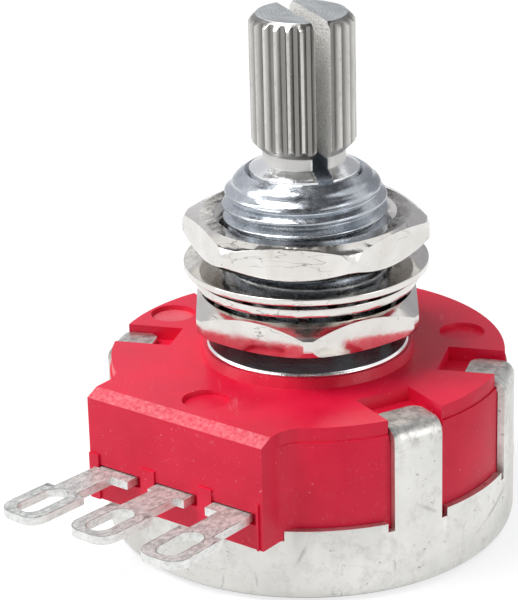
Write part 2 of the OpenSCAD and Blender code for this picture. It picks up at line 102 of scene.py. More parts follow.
# Its flange, as inset from the full radius and height, and its mouth, as radius and height.
FLANGE_POINTS = ((0.16, FLANGE_TOP), (0.10, FLANGE_TOP - 0.06), (0.11, FLANGE_LOW + 0.2),
                 (0.09, FLANGE_LOW + 0.15), (0.03, FLANGE_LOW + 0.09), (0.0, FLANGE_LOW + 0.04),
                 (0.02, FLANGE_LOW))
MOUTH_POINTS = ((BORE_R, CONE_Z - 0.35), (MOUTH_R - 0.06, DOME_TOP - 0.04), (MOUTH_R, DOME_TOP))
# Crest and root are shares of a pitch. Over the dome the groove is shallower and fades out below the top.
THREAD_CREST = 0.16
THREAD_ROOT = 0.12
THREAD_ROUNDING = 0.08
DOME_GROOVE = 0.75
DOME_FADE_FROM = 0.3
DOME_FADE_SPAN = 1.1
# The nut's crown: how far its flats lean in at the foot, and the share of its height that leans.
NUT_CROWN = 0.07
NUT_CROWN_REACH = 0.72
NUT_BORE_BREAK = 0.25

# Where a material changes its look, in millimetres. A pair is an edge, crossed from the first value to the
# second. One point is the middle of a round mark on the housing, painted paler as a reflection; FAR_OFF lies
# beyond every painted dark line on a lug.
FOLD_Z = (8.6, 9.5)
CAN_EDGE_Z = (0.30, 0.14)
MARK_SHEEN = (-10.0, -0.25, 10.2)
MARK_SHEEN_EDGE = (1.38, 1.15)
FLANGE_FOOT_HIGHLIGHT = (FLANGE_LOW + 0.2, FLANGE_LOW + 0.14)
FLANGE_SIDE = (FLANGE_LOW + 0.15, FLANGE_LOW + 0.19)
FLANGE_SIDE_END = (FLANGE_TOP + 0.1, FLANGE_TOP + 0.2)
TEETH_EDGE = (6.1, 6.0)
GROOVE_EDGE = (2.93, 2.78)
CREST_EDGE = (2.965, 2.985)
LUG_REFLECTION_LINE = (0.09, 0.03)
LUG_REFLECTION_START = (-0.8, -1.1)
EYE_START = (EYE[1] - 0.10, EYE[1] - 0.14)
FAR_OFF = 9.0

# Widths of the bevels on CAD pieces, in millimetres.
BEVELS = {"housing": 0.07, "metal_can": 0.05, "upper_nut": 0.05, "flat_washer": 0.05, "lock_washer": 0.04,
          "splined_shaft": 0.02}
LUG_BEVEL = 0.05
# Merging reaches in metres, and the angles, in degrees, of a flat face's slivers and of a sharp edge.
WELD_REACH = 1e-7
SHORT_EDGE = 2e-5
FLAT_ANGLE = 0.6
SHARP_ANGLE = 32

# Plain finishes of the pieces inside: name, dark and light colour, metallic, roughness, grain and nodes.
INSIDE = (
    ("phenolic", (0.20, 0.10, 0.045), (0.30, 0.16, 0.08), 0.0, 0.45, 900, ("element_board",)),
    ("carbon", (0.010, 0.010, 0.010), (0.03, 0.03, 0.03), 0.0, 0.5, 3000, ("resistive_track",)),
    ("silver_ink", (0.55, 0.55, 0.54), (0.72, 0.72, 0.71), 0.8, 0.4, 3000,
     ("track_end_pads", "collector_ring")),
    ("spring_bronze", (0.62, 0.36, 0.14), (0.75, 0.48, 0.22), 1.0, 0.22, 900, ("wiper",)),
    ("brass", (0.66, 0.47, 0.20), (0.78, 0.60, 0.30), 1.0, 0.24, 900, ("thrust_washer", "terminal_rivets")),
    ("spring_steel", (0.24, 0.24, 0.25), (0.40, 0.40, 0.41), 1.0, 0.28, 900, ("retaining_ring",)),
    ("ivory_plastic", (0.70, 0.64, 0.50), (0.80, 0.75, 0.62), 0.0, 0.42, 600, ("rotor",)),
)

# Grey sheets of the room: name, place, size and shade.
CARDS_FACE = (0, 0, 0.014)
CARDS = (
    ("wall_left", (-0.276, 0.102, 0.115), (0.31, 0.22), 0.72),
    ("wall_right", (-0.032, 0.293, 0.115), (0.31, 0.22), 0.46),
    ("dark_doorway", (-0.120, 0.160, 0.092), (0.026, 0.13), 0.03),
    ("room_above", (0.02, -0.03, 0.38), (0.60, 0.60), 0.14),
    ("room_front", (0.20, -0.26, 0.20), (0.34, 0.26), 0.06),
)

# Lamps: name, place, the point they face, size and watts.
LAMPS = (
    ("top_light", (-0.09, -0.12, 0.30), (0, 0, 0.012), (0.17, 0.17), 0.79),
    ("left_light", (-0.26, -0.20, 0.16), (0, 0, 0.014), (0.12, 0.20), 0.22),
    ("right_light", (0.30, 0.02, 0.12), (0, 0, 0.014), (0.10, 0.18), 0.14),
)
WORLD_STRENGTH = 0.34

# The floor: its size, the grey that lights the part, and the grey and glow that the camera sees.
FLOOR_SIZE = (1.2, 1.2)
FLOOR_GREY = 0.80
SHADOW_GREY = 0.34
FLOOR_GLOW = 0.76

# The camera's place about the part, in degrees and metres, and the point it looks at, in millimetres.
AZIMUTH = 38
ELEVATION = 21.4
ROLL = -1.5
DISTANCE = 0.1447
AIM_ASIDE = -2.79
AIM_HEIGHT = 13.55
SENSOR_WIDTH = 36
LENS = 172.6


# Node helpers.


class Graph:
    """A material's node tree with short calls for the nodes used here."""

    def __init__(self, name, **shader):
        self.material = bpy.data.materials.new(name)
        self.material.use_nodes = True
        self.tree = self.material.node_tree
        self.shader = self.tree.nodes["Principled BSDF"]
        for key, value in shader.items():
            self.shader.inputs[key.replace("_", " ")].default_value = value
        self.place = self.node("ShaderNodeTexCoord").outputs["Object"]
        self.last_bump = None

    def node(self, kind, **settings):
        made = self.tree.nodes.new(kind)
        for key, value in settings.items():
            setattr(made, key, value)
        return made

    def link(self, source, target):
        """Joins a socket, or writes a plain value, to the target socket."""
        if isinstance(source, bpy.types.NodeSocket):
            self.tree.links.new(source, target)
        else:
            target.default_value = source

    def texture(self, kind, vector, output, values, **settings):
        """A texture node on the given vector, with its inputs set by name."""
        made = self.node(kind, **settings)
        self.link(vector, made.inputs["Vector"])
        for key, value in values.items():
            made.inputs[key].default_value = value
        return made.outputs[output]

    def scaled(self, x, y, z):
        """Object coordinates stretched per axis."""
        return self.texture("ShaderNodeMapping", self.place, "Vector", {"Scale": (x, y, z)})

    def turned(self, angle, scale=(1, 1, 1)):
        """Object coordinates turned about Z and then stretched."""
        turn = self.texture("ShaderNodeMapping", self.place, "Vector", {"Rotation": (0, 0, angle)},
                            vector_type="TEXTURE")
        return self.texture("ShaderNodeMapping", turn, "Vector", {"Scale": scale})

    def noise(self, vector, scale, detail=4.0, rough=0.55, distortion=0.0):
        return self.texture("ShaderNodeTexNoise", vector, "Fac", {
            "Scale": scale, "Detail": detail, "Roughness": rough, "Distortion": distortion})

    def cell_edges(self, vector, scale):
        return self.texture("ShaderNodeTexVoronoi", vector, "Distance", {"Scale": scale},
                            feature="DISTANCE_TO_EDGE")

    def math(self, operation, a, b=0.0, c=0.0, clamp=False):
        made = self.node("ShaderNodeMath", operation=operation, use_clamp=clamp)
        for socket, value in zip(made.inputs, (a, b, c)):
            self.link(value, socket)
        return made.outputs[0]

    def times(self, a, b):
        return self.math("MULTIPLY", a, b)

    def minus(self, a, b):
        return self.math("SUBTRACT", a, b)

    def absolute(self, a):
        return self.math("ABSOLUTE", a)

    def above_zero(self, a):
        return self.math("MAXIMUM", a, 0.0)

    def length(self, a, b):
        return self.math("SQRT", self.math("ADD", self.times(a, a), self.times(b, b)))

    def remap(self, value, low, high, to_low=0.0, to_high=1.0):
        made = self.node("ShaderNodeMapRange", clamp=True)
        for socket, number in zip(made.inputs, (value, low, high, to_low, to_high)):
            self.link(number, socket)
        return made.outputs[0]

    def across(self, value, edge, to_low=0.0, to_high=1.0):
        """A remap over an edge given in millimetres, for a value in metres."""
        return self.remap(value, edge[0] * MM, edge[1] * MM, to_low, to_high)

    def across_mm(self, value, edge):
        """The same for a value in millimetres."""
        return self.remap(value, edge[0], edge[1])

    def mix(self, factor, a, b):
        """Mixes two colours, each a socket or three numbers."""
        made = self.node("ShaderNodeMix", data_type="RGBA")
        self.link(factor, made.inputs[0])
        for socket, colour in ((made.inputs[6], a), (made.inputs[7], b)):
            self.link(colour if isinstance(colour, bpy.types.NodeSocket) else (*colour, 1.0), socket)
        return made.outputs[2]

    def split(self, vector):
        made = self.node("ShaderNodeSeparateXYZ")
        self.link(vector, made.inputs[0])
        return made.outputs[0], made.outputs[1], made.outputs[2]

    def normal_parts(self):
        return self.split(self.node("ShaderNodeTexCoord").outputs["Normal"])

    def bump(self, height, strength, distance):
        """Adds relief, with its distance in millimetres, over what is there already."""
        made = self.node("ShaderNodeBump")
        self.link(height, made.inputs["Height"])
        made.inputs["Strength"].default_value = strength
        made.inputs["Distance"].default_value = distance * MM
        if self.last_bump:
            self.link(self.last_bump.outputs[0], made.inputs["Normal"])
        self.last_bump = made
        self.link(made.outputs[0], self.shader.inputs["Normal"])

    def colour(self, value):
        self.link(value, self.shader.inputs["Base Color"])

    def rough(self, value):
        self.link(value, self.shader.inputs["Roughness"])

    def metallic(self, value):
        self.link(value, self.shader.inputs["Metallic"])


# Materials. Scales of noise are in cycles per metre.


def red_plastic():
    """Semi-gloss red moulding: matt chamfer on the terminal block with painted highlight, specks, scuffs, one
    mark with painted reflection.
    """
    g = Graph("red_plastic", IOR=1.5, Specular_IOR_Level=0.32)
    _, ny, nz = g.normal_parts()
    cloud = g.noise(g.place, 260, 5)
    base = g.mix(g.remap(cloud, 0.35, 0.7), (0.74, 0.006, 0.042), (0.86, 0.016, 0.060))
    specks = g.remap(g.noise(g.place, 5600, 2, 0.5), 0.70, 0.75)
    base = g.mix(g.times(specks, 0.4), base, (0.95, 0.45, 0.45))

    # The chamfer on the terminal block is rougher, and painted paler as a highlight where it faces the light.
    lit_chamfer = g.times(g.remap(ny, -0.30, -0.42), g.remap(nz, 0.72, 0.84))
    speckle = g.remap(g.noise(g.place, 3800, 4, 0.75), 0.38, 0.62, 0.16, 0.62)
    base = g.mix(g.times(lit_chamfer, speckle), base, (0.95, 0.34, 0.37))

    lines = g.remap(g.noise(g.turned(0.7, (1, 0.12, 1)), 2600, 4, 0.7), 0.60, 0.72)
    scuff = g.times(lines, g.remap(g.noise(g.place, 160, 3), 0.50, 0.62))
    base = g.mix(g.times(scuff, 0.22), base, (0.95, 0.40, 0.42))

    # A round mark, painted paler about its middle as a reflection on its smooth face.
    away = g.node("ShaderNodeVectorMath", operation="DISTANCE")
    g.link(g.place, away.inputs[0])
    away.inputs[1].default_value = tuple(c * MM for c in MARK_SHEEN)
    mark_sheen = g.across(away.outputs["Value"], MARK_SHEEN_EDGE, 0.0, 0.42)
    g.colour(g.mix(g.times(mark_sheen, g.remap(cloud, 0.3, 0.6, 0.4, 1.0)), base, (0.95, 0.36, 0.40)))

    gloss = g.remap(cloud, 0.3, 0.75, 0.30, 0.46)
    g.rough(g.math("ADD", gloss, g.times(lit_chamfer, 0.3)))
    g.bump(g.noise(g.place, 9000, 3, 0.6), 0.28, 0.015)
    g.bump(g.noise(g.place, 900, 3), 0.16, 0.03)
    return g.material


def tinned_can():
    """Dull tin plate: drawn satin skin, stains, dark nicks, long fine scratches, darker blotches from the
    folds up.
    """
    g = Graph("tinned_can", Metallic=1.0)
    skin = g.noise(g.scaled(1, 1, 0.25), 1400, 5, 0.6)
    smear = g.noise(g.place, 180, 4, 0.6)
    nick = g.remap(g.noise(g.scaled(1, 1, 1.6), 1500, 5, 0.7), 0.62, 0.68)
    nick = g.times(nick, g.remap(g.noise(g.place, 300, 2), 0.47, 0.56))
    scratch = g.remap(g.cell_edges(g.turned(0.4, (1, 1, 0.35)), 210), 0.0, 0.014, 1.0, 0.0)
    scratch = g.times(scratch, g.remap(g.noise(g.place, 420, 2), 0.47, 0.58))

    base = g.mix(g.remap(smear, 0.3, 0.7), (0.60, 0.595, 0.565), (0.80, 0.795, 0.765))
    stain = g.remap(g.noise(g.place, 750, 6, 0.8), 0.50, 0.66)
    base = g.mix(g.times(stain, 0.5), base, (0.47, 0.455, 0.43))
    height = g.split(g.place)[2]
    # Darker blotches over the tin, from the folds up.
    dark_blotches = g.times(g.across(height, FOLD_Z), g.remap(g.noise(g.place, 1300, 5, 0.8), 0.46, 0.60))
    base = g.mix(g.times(dark_blotches, 0.7), base, (0.30, 0.29, 0.28))
    edge = g.across(height, CAN_EDGE_Z)
    base = g.mix(edge, base, (0.10, 0.095, 0.09))
    base = g.mix(g.times(nick, 0.8), base, (0.20, 0.19, 0.18))
    g.colour(g.mix(g.times(scratch, 0.6), base, (0.33, 0.32, 0.30)))

    g.metallic(g.remap(edge, 0.0, 1.0, 1.0, 0.2))
    g.rough(g.remap(skin, 0.3, 0.7, 0.36, 0.50))
    g.bump(skin, 0.25, 0.03)
    g.bump(g.noise(g.place, 4200, 4, 0.7), 0.2, 0.015)
    g.bump(g.math("ADD", scratch, nick), -0.35, 0.015)
    return g.material


def bright_nickel(name, shaded_teeth=False):
    """Mirror nickel, broken by slight waves, fine pits and a few peeled lines; a washer's teeth can get
    painted shade.
    """
    g = Graph(name, Metallic=1.0)
    wave = g.noise(g.place, 420, 4, 0.5, 0.6)
    contour = g.absolute(g.minus(g.noise(g.scaled(1, 1, 5.5), 240, 3, 0.5, 0.3), 0.5))
    peel = g.remap(contour, 0.003, 0.008, 1.0, 0.0)
    peel = g.times(peel, g.remap(g.noise(g.place, 230, 2), 0.51, 0.56))

    base = g.mix(g.remap(wave, 0.35, 0.65), (0.68, 0.655, 0.62), (0.78, 0.76, 0.73))
    if shaded_teeth:
        # The teeth inside the rim are painted near black: painted shade in the narrow gaps about the washer.
        x, y, _ = g.split(g.place)
        base = g.mix(g.across(g.length(x, y), TEETH_EDGE), base, (0.05, 0.048, 0.046))
    pit = g.remap(g.noise(g.place, 3600, 3, 0.6), 0.66, 0.73)
    base = g.mix(g.times(pit, 0.5), base, (0.28, 0.26, 0.24))
    g.colour(g.mix(g.times(peel, 0.6), base, (0.16, 0.15, 0.14)))

    g.rough(g.remap(g.noise(g.place, 1500, 4, 0.6), 0.35, 0.7, 0.08, 0.20))
    g.bump(wave, 0.22, 0.10)
    g.bump(g.noise(g.place, 1300, 3), 0.16, 0.03)
    g.bump(peel, -0.4, 0.02)
    return g.material


def zinc_bushing():
    """Blue-grey zinc; the flange's side is dark, with a painted highlight along its foot."""
    g = Graph("zinc_bushing", Metallic=1.0)
    z = g.split(g.place)[2]
    cloud = g.noise(g.place, 420, 5, 0.65)
    base = g.mix(g.remap(cloud, 0.3, 0.7), (0.34, 0.37, 0.41), (0.62, 0.65, 0.69))
    # A near-white band on the flange's rounded foot: a painted highlight.
    base = g.mix(g.across(z, FLANGE_FOOT_HIGHLIGHT), base, (0.92, 0.91, 0.90))
    dark = g.times(g.across(z, FLANGE_SIDE), g.across(z, FLANGE_SIDE_END, 1.0, 0.0))
    g.colour(g.mix(g.times(dark, 0.95), base, (0.022, 0.021, 0.023)))
    g.rough(g.remap(g.noise(g.place, 2200, 4, 0.7), 0.3, 0.7, 0.12, 0.36))
    g.bump(g.noise(g.scaled(1, 1, 3), 1500, 4, 0.7), 0.35, 0.04)
    return g.material


def shaft_metal():
    """One turned shaft, its surfaces told apart by place: milled end, sawn slot, knurl, neck, cone; painted
    shade and light in grooves and slot.
    """
    g = Graph("shaft_metal")
    x, y, z = g.split(g.place)
    off_slot = g.split(g.turned(SLOT_ANGLE))[1]
    reach = g.length(x, y)

    # Masks of the surfaces.
    groove = g.times(g.across(reach, GROOVE_EDGE), g.across(z, (SPLINE_LOW, SPLINE_LOW + 0.1)))
    crest = g.times(g.across(reach, CREST_EDGE), g.remap(g.noise(g.place, 2600, 3, 0.7), 0.35, 0.5))
    end = g.across(z, (SHAFT_TOP - 0.02, SHAFT_TOP - 0.01))
    cone = g.across(z, (NECK_LOW + 0.01, NECK_LOW - 0.01))
    neck = g.times(g.across(reach, (NECK_R + 0.06, NECK_R + 0.02)),
                   g.across(z, (SPLINE_LOW + 0.05, SPLINE_LOW)))
    slot_side = (SLOT_W / 2 + 0.01) * MM
    slot = g.remap(g.absolute(off_slot), slot_side, slot_side * 0.985)
    deep = g.across(z, (SPLINE_LOW, SPLINE_LOW - 0.15))

    # Marks of the saw and of the mill.
    saw = g.texture("ShaderNodeTexWave", g.turned(SLOT_ANGLE), "Fac", {
        "Scale": 1300, "Distortion": 14.0, "Detail": 6.0, "Detail Scale": 2.5}, bands_direction="DIAGONAL")
    rings = g.texture("ShaderNodeTexWave", g.scaled(1, 1, 1), "Fac", {
        "Scale": 1500, "Distortion": 9.0, "Detail": 5.0}, wave_type="RINGS", rings_direction="Z")

    cloud = g.noise(g.scaled(1, 1, 0.15), 1100, 5, 0.65)
    base = g.mix(g.remap(cloud, 0.3, 0.7), (0.40, 0.39, 0.375), (0.64, 0.63, 0.605))
    # Painted shade: the knurl's grooves are darkened.
    base = g.mix(g.times(groove, 0.62), base, (0.10, 0.096, 0.09))
    base = g.mix(g.times(crest, 0.35), base, (0.78, 0.77, 0.75))
    base = g.mix(end, base, g.mix(rings, (0.68, 0.72, 0.75), (0.84, 0.86, 0.86)))
    base = g.mix(g.times(neck, 0.6), base, (0.62, 0.615, 0.60))
    base = g.mix(cone, base, (0.80, 0.81, 0.82))
    # The sawn faces have real saw marks; their pale colour is partly painted light in the shaded slot.
    sawn = g.mix(saw, (0.78, 0.765, 0.73), (0.99, 0.975, 0.94))
    # Deep in the slot the colour is painted dark bluish grey, as shade.
    g.colour(g.mix(slot, base, g.mix(deep, sawn, (0.23, 0.26, 0.30))))

    rough = g.remap(cloud, 0.3, 0.7, 0.24, 0.38)
    rough = g.math("ADD", rough, g.times(g.math("MAXIMUM", end, neck), 0.12))
    rough = g.minus(rough, g.times(cone, 0.14))
    g.rough(g.math("ADD", rough, g.times(slot, 0.22), clamp=True))
    dull = g.times(slot, g.remap(deep, 0.0, 1.0, 1.0, 0.3))
    g.metallic(g.remap(dull, 0.0, 1.0, 1.0, 0.15))
    g.bump(g.times(saw, slot), 0.9, 0.05)
    g.bump(g.times(rings, end), 0.3, 0.01)
    g.bump(g.noise(g.scaled(1, 1, 0.6), 4200, 4, 0.75), 0.40, 0.025)
    return g.material


def edge_distance(g, pivot, rise, turn):
    """Distance from a lug's outline or hole over its plan, and the place along the lug, in millimetres."""
    plan = g.texture("ShaderNodeMapping", g.place, "Vector", {
        "Location": tuple(c * MM for c in pivot), "Scale": (MM, MM, MM),
        "Rotation": (math.radians(-rise), 0.0, math.radians(turn))}, vector_type="TEXTURE")
    x, y, _ = g.split(plan)
    aside = g.absolute(x)

    # The hole is round about the line between the centres of its ends.
    beyond = g.math("MAXIMUM", g.minus(y, EYE_HOLE[1]), g.minus(EYE_HOLE[0], y))
    from_hole = g.minus(g.length(x, g.above_zero(beyond)), EYE_HOLE_R)

    # The eye is a rectangle with round corners.
    half_length, middle = (EYE[1] - EYE[0]) / 2, (EYE[0] + EYE[1]) / 2
    ahead = g.minus(g.absolute(g.minus(y, middle)), half_length - EYE_CORNER)
    wide = g.minus(aside, EYE_W / 2 - EYE_CORNER)
    from_outline = g.minus(EYE_CORNER, g.length(g.above_zero(wide), g.above_zero(ahead)))

    # Each distance counts only on its own side of the line where the eye starts.
    in_eye = g.across_mm(y, EYE_START)
    eye = g.math("ADD", g.math("MINIMUM", from_hole, from_outline), g.times(g.minus(1.0, in_eye), FAR_OFF))
    strip = g.math("ADD", g.minus(STRIP_W / 2, aside), g.times(in_eye, FAR_OFF))
    return g.math("MINIMUM", eye, strip), y


def tinned_lug(name, pivot, rise, turn):
    """Grainy tin grey on the flats, paler and smoother on the sheared edges, painted dark reflections along
    the outline.
    """
    g = Graph(name)
    flat = g.absolute(g.normal_parts()[2])
    sheared = g.remap(flat, 0.6, 0.3)
    grain = g.noise(g.scaled(1, 0.6, 1), 3600, 6, 0.8)
    dent = g.remap(g.noise(g.scaled(1, 0.5, 1), 1600, 4, 0.7), 0.62, 0.68)

    base = g.mix(g.remap(grain, 0.42, 0.58), (0.40, 0.42, 0.405), (0.76, 0.785, 0.755))
    base = g.mix(g.times(g.remap(g.noise(g.place, 500, 3), 0.4, 0.7), 0.3), base, (0.66, 0.67, 0.65))
    base = g.mix(g.times(dent, 0.55), base, (0.26, 0.25, 0.24))
    base = g.mix(g.times(sheared, g.remap(grain, 0.35, 0.6, 0.45, 0.9)), base, (0.86, 0.86, 0.84))

    distance, along = edge_distance(g, pivot, rise, turn)
    # A thin dark band along the outline and the hole: a painted reflection of the lug's bevelled edges.
    dark_reflection = g.times(g.across_mm(distance, LUG_REFLECTION_LINE), g.remap(flat, 0.4, 0.6))
    dark_reflection = g.times(dark_reflection, g.remap(g.noise(g.place, 1100, 4, 0.7), 0.40, 0.54, 0.15, 0.75))
    dark_reflection = g.times(dark_reflection, g.across_mm(along, LUG_REFLECTION_START))
    g.colour(g.mix(dark_reflection, base, (0.10, 0.10, 0.095)))

    g.rough(g.remap(grain, 0.3, 0.7, 0.40, 0.56))
    g.metallic(g.remap(sheared, 0.0, 1.0, 0.36, 0.85))
    g.bump(grain, 0.30, 0.02)
    g.bump(dent, -0.3, 0.03)
    return g.material


def plain(name, dark, light, metallic, rough, scale):
    """A finish for the pieces inside, with cloud, grain and a little relief."""
    g = Graph(name, Metallic=metallic)
    cloud = g.noise(g.place, scale, 5, 0.6)
    g.colour(g.mix(g.remap(cloud, 0.3, 0.7), dark, light))
    g.rough(g.remap(cloud, 0.3, 0.7, rough, rough + 0.14))
    g.bump(g.noise(g.place, scale * 5, 3), 0.1, 0.02)
    return g.material


# Shapes.


def on_ring(bm, radius, angle, height):
    """A new vertex from a radius and a height in millimetres."""
    return bm.verts.new((radius * math.cos(angle) * MM, radius * math.sin(angle) * MM, height * MM))


def lathe(bm, outline, steps):
    """Adds the surface swept by an outline of (radius, height) in millimetres."""
    rings = [[on_ring(bm, radius, 2 * math.pi * i / steps, height) for i in range(steps)]
             for radius, height in outline]
    for ring, following in zip(rings, rings[1:]):
        for i in range(steps):
            bm.faces.new((ring[i], ring[(i + 1) % steps], following[(i + 1) % steps], following[i]))


def finished(bm, name, material, merge, smooth):
    """Merges near points and makes an object, smooth except at edges sharper than the given angle."""
    bmesh.ops.remove_doubles(bm, verts=bm.verts, dist=merge)
    bmesh.ops.recalc_face_normals(bm, faces=bm.faces)
    for edge in bm.edges:
        edge.smooth = not (len(edge.link_faces) == 2 and edge.calc_face_angle(0.0) > smooth)
    for face in bm.faces:
        face.smooth = True
    mesh = bpy.data.meshes.new(name)
    bm.to_mesh(mesh)
    bm.free()
    mesh.materials.append(material)
    made = bpy.data.objects.new(name, mesh)
    bpy.context.scene.collection.objects.link(made)
    return made


def dome_radius(z):
    """Largest radius of the bushing at height z, from the full thread up over the domed end."""
    drop = DOME_TOP - FULL_Z
    outline = [(FULL_Z, THREAD_R)]
    outline += [(DOME_TOP - down * drop, THREAD_R - inward * drop) for down, inward in DOME_POINTS]
    outline += [(DOME_TOP, MOUTH_R)]
    if z <= FULL_Z:
        return THREAD_R
    for (z0, r0), (z1, r1) in zip(outline, outline[1:]):
        if z <= z1:
            return r0 + (r1 - r0) * (z - z0) / (z1 - z0)
    return MOUTH_R


def groove_depth(phase):
    """Thread profile over one pitch, from its crest down: flat crest, flanks near 60 degrees, rounded root."""
    distance = abs(phase - 0.5) * 2
    rise = min(max((1 - distance - THREAD_ROOT) / (1 - THREAD_CREST - THREAD_ROOT), 0.0), 1.0)
    rise = rise + THREAD_ROUNDING * math.sin(math.pi * rise) * (0.5 - rise)
    return THREAD_DEPTH * (1 - rise)


def threaded_bushing(material, rows=22, steps=192):
    """The bushing with its real helical thread; the grid's rows follow the helix to keep its crests sharp."""
    bm = bmesh.new()
    low, high = FLANGE_TOP, DOME_TOP
    count = int((high - low) / THREAD_PITCH * rows) + 2 * rows
    grid = []
    for k in range(count + 1):
        groove = groove_depth((k / rows) % 1.0)
        row = []
        for i in range(steps + 1):
            z = low - THREAD_PITCH + (k / rows + i / steps) * THREAD_PITCH
            at = min(max(z, low), high)
            fade = min(max((DOME_TOP - DOME_FADE_FROM - at) / DOME_FADE_SPAN, 0.0), 1.0)
            radius = min(THREAD_R - groove, dome_radius(at) - DOME_GROOVE * groove * fade)
            row.append(on_ring(bm, radius, 2 * math.pi * i / steps, at))
        grid.append(row)
    for k in range(count):
        for i in range(steps):
            corners = grid[k][i], grid[k][i + 1], grid[k + 1][i + 1], grid[k + 1][i]
            if len({tuple(round(c, 9) for c in v.co) for v in corners}) == 4:
                bm.faces.new(corners)
    rest = [(THREAD_R, FLANGE_TOP)]
    rest += [(FLANGE_R - inset, z) for inset, z in FLANGE_POINTS]
    rest += [(BARREL_R, FLANGE_LOW), (BARREL_R, CEILING_Z), (LIP_R, CEILING_Z), (LIP_R, REAR_Z),
             (BORE_R, REAR_Z), *MOUTH_POINTS]
    lathe(bm, rest, steps)
    return finished(bm, "bushing_thread", material, merge=2e-7, smooth=math.radians(38))


def nut_angles(sides, corner_steps=4):
    """Angles round the nut, each with its angle from the middle of its flat."""
    half = math.acos(NUT_FLATS / 2 / NUT_CORNER_R)
    corner = math.pi / 3 - 2 * half
    angles = []
    for k in range(6):
        middle = LOWER_NUT_TURN + math.radians(30 + 60 * k)
        for i in range(sides + 1):
            across = half * (2 * i / sides - 1)
            angles.append((middle + across, across))
        angles += [(middle + half + corner * i / corner_steps, half) for i in range(1, corner_steps)]
    return angles


def nut_outline(across, rows):
    """One column of the nut: from the bore below, out, up the wall and back to the bore above."""
    wall = NUT_FLATS / 2 / math.cos(across)
    edge = min(wall, NUT_BREAK_R)
    foot = NUT_BREAK_H * (edge - NUT_DOME_R) / (NUT_BREAK_R - NUT_DOME_R)
    start = foot + (wall - edge) * math.tan(NUT_BREAK_SLOPE)
    end = NUT_H - (wall - NUT_FLAT_R) * math.tan(NUT_SLOPE)
    outline = [(THREAD_R, NUT_SINK), (THREAD_R + NUT_SINK, 0), (NUT_DOME_R, 0), (edge - NUT_CROWN, foot)]
    for i in range(rows + 1):
        height = start + (end - start) * i / rows
        lean = max(0.0, 1 - (height - foot) / (NUT_CROWN_REACH * (NUT_H - foot)))
        outline.append((wall - NUT_CROWN * lean * lean, height))
    return outline + [(NUT_FLAT_R, NUT_H), (THREAD_R + NUT_BORE_BREAK, NUT_H),
                      (THREAD_R, NUT_H - NUT_BORE_BREAK)]


def flipped_nut(material, sides=24, rows=8):
    """The lower nut, which stands on its broken face; its flats are crowned and lean in toward that face.

    Its turn is the photograph's, which the part's own lower nut misses by 14 degrees.
    """
    bm = bmesh.new()
    columns = [[on_ring(bm, r, angle, LOWER_NUT_Z + h) for r, h in nut_outline(across, rows)]
               for angle, across in nut_angles(sides)]
    for column, following in zip(columns, columns[1:] + columns[:1]):
        ring = list(zip(column, following))
        for (a, b), (d, c) in zip(ring, ring[1:] + ring[:1]):
            bm.faces.new((a, b, c, d))
    return finished(bm, "nut_on_flange", material, merge=2e-6, smooth=math.radians(16))


# Finishing of the CAD pieces.


def soften(node, width, sheet=False):
    """Breaks a CAD piece's sharp edges with a small true bevel.

    On a sheet, slivers in its flat faces are dissolved first, and the shading follows the large faces.
    """
    piece = NODES[node]
    piece.modifiers.new("weld", "WELD").merge_threshold = WELD_REACH
    if sheet:
        flat = piece.modifiers.new("flat_faces", "DECIMATE")
        flat.decimate_type = "DISSOLVE"
        flat.angle_limit = math.radians(FLAT_ANGLE)
        piece.modifiers.new("short_edges", "WELD").merge_threshold = SHORT_EDGE
    bevel = piece.modifiers.new("soft_edges", "BEVEL")
    bevel.width = width * MM
    bevel.segments = 2
    bevel.limit_method = "ANGLE"
    bevel.angle_limit = math.radians(SHARP_ANGLE)
    bevel.harden_normals = not sheet
    bevel.use_clamp_overlap = True
    if sheet:
        piece.modifiers.new("even_shading", "WEIGHTED_NORMAL").keep_sharp = True


def paint(material, *nodes):
    for node in nodes:
        piece = NODES[node]
        piece.data.materials.clear()
        piece.data.materials.append(material)


# Studio.


def face(made, place, aim):
    """Stands an object at a place and turns its -Z axis to the aim."""
    made.location = place
    made.rotation_euler = (Vector(place) - Vector(aim)).to_track_quat("Z", "Y").to_euler()


def softbox(name, place, aim, size, power):
    data = bpy.data.lights.new(name, "AREA")
    data.shape = "RECTANGLE"
    data.size, data.size_y = size
    data.energy = power
    lamp = bpy.data.objects.new(name, data)
    face(lamp, place, aim)
    bpy.context.scene.collection.objects.link(lamp)


def flat_sheet(name, size, material):
    """A rectangle in the floor's plane."""
    w, h = size[0] / 2, size[1] / 2
    mesh = bpy.data.meshes.new(name)
    mesh.from_pydata([(-w, -h, 0), (w, -h, 0), (w, h, 0), (-w, h, 0)], [], [(0, 1, 2, 3)])
    mesh.materials.append(material)
    made = bpy.data.objects.new(name, mesh)
    bpy.context.scene.collection.objects.link(made)
    return made


def room_card(name, place, size, shade):
    """A grey sheet that only polished surfaces show, like the dark parts of a room round a photo table."""
    material = bpy.data.materials.new(name)
    material.use_nodes = True
    tree = material.node_tree
    glow = tree.nodes.new("ShaderNodeEmission")
    glow.inputs["Color"].default_value = (shade, shade, shade * 1.05, 1)
    glow.inputs["Strength"].default_value = 1.0
    tree.links.new(glow.outputs[0], tree.nodes["Material Output"].inputs["Surface"])
    made = flat_sheet(name, size, material)
    face(made, place, CARDS_FACE)
    made.visible_camera = made.visible_diffuse = made.visible_shadow = False


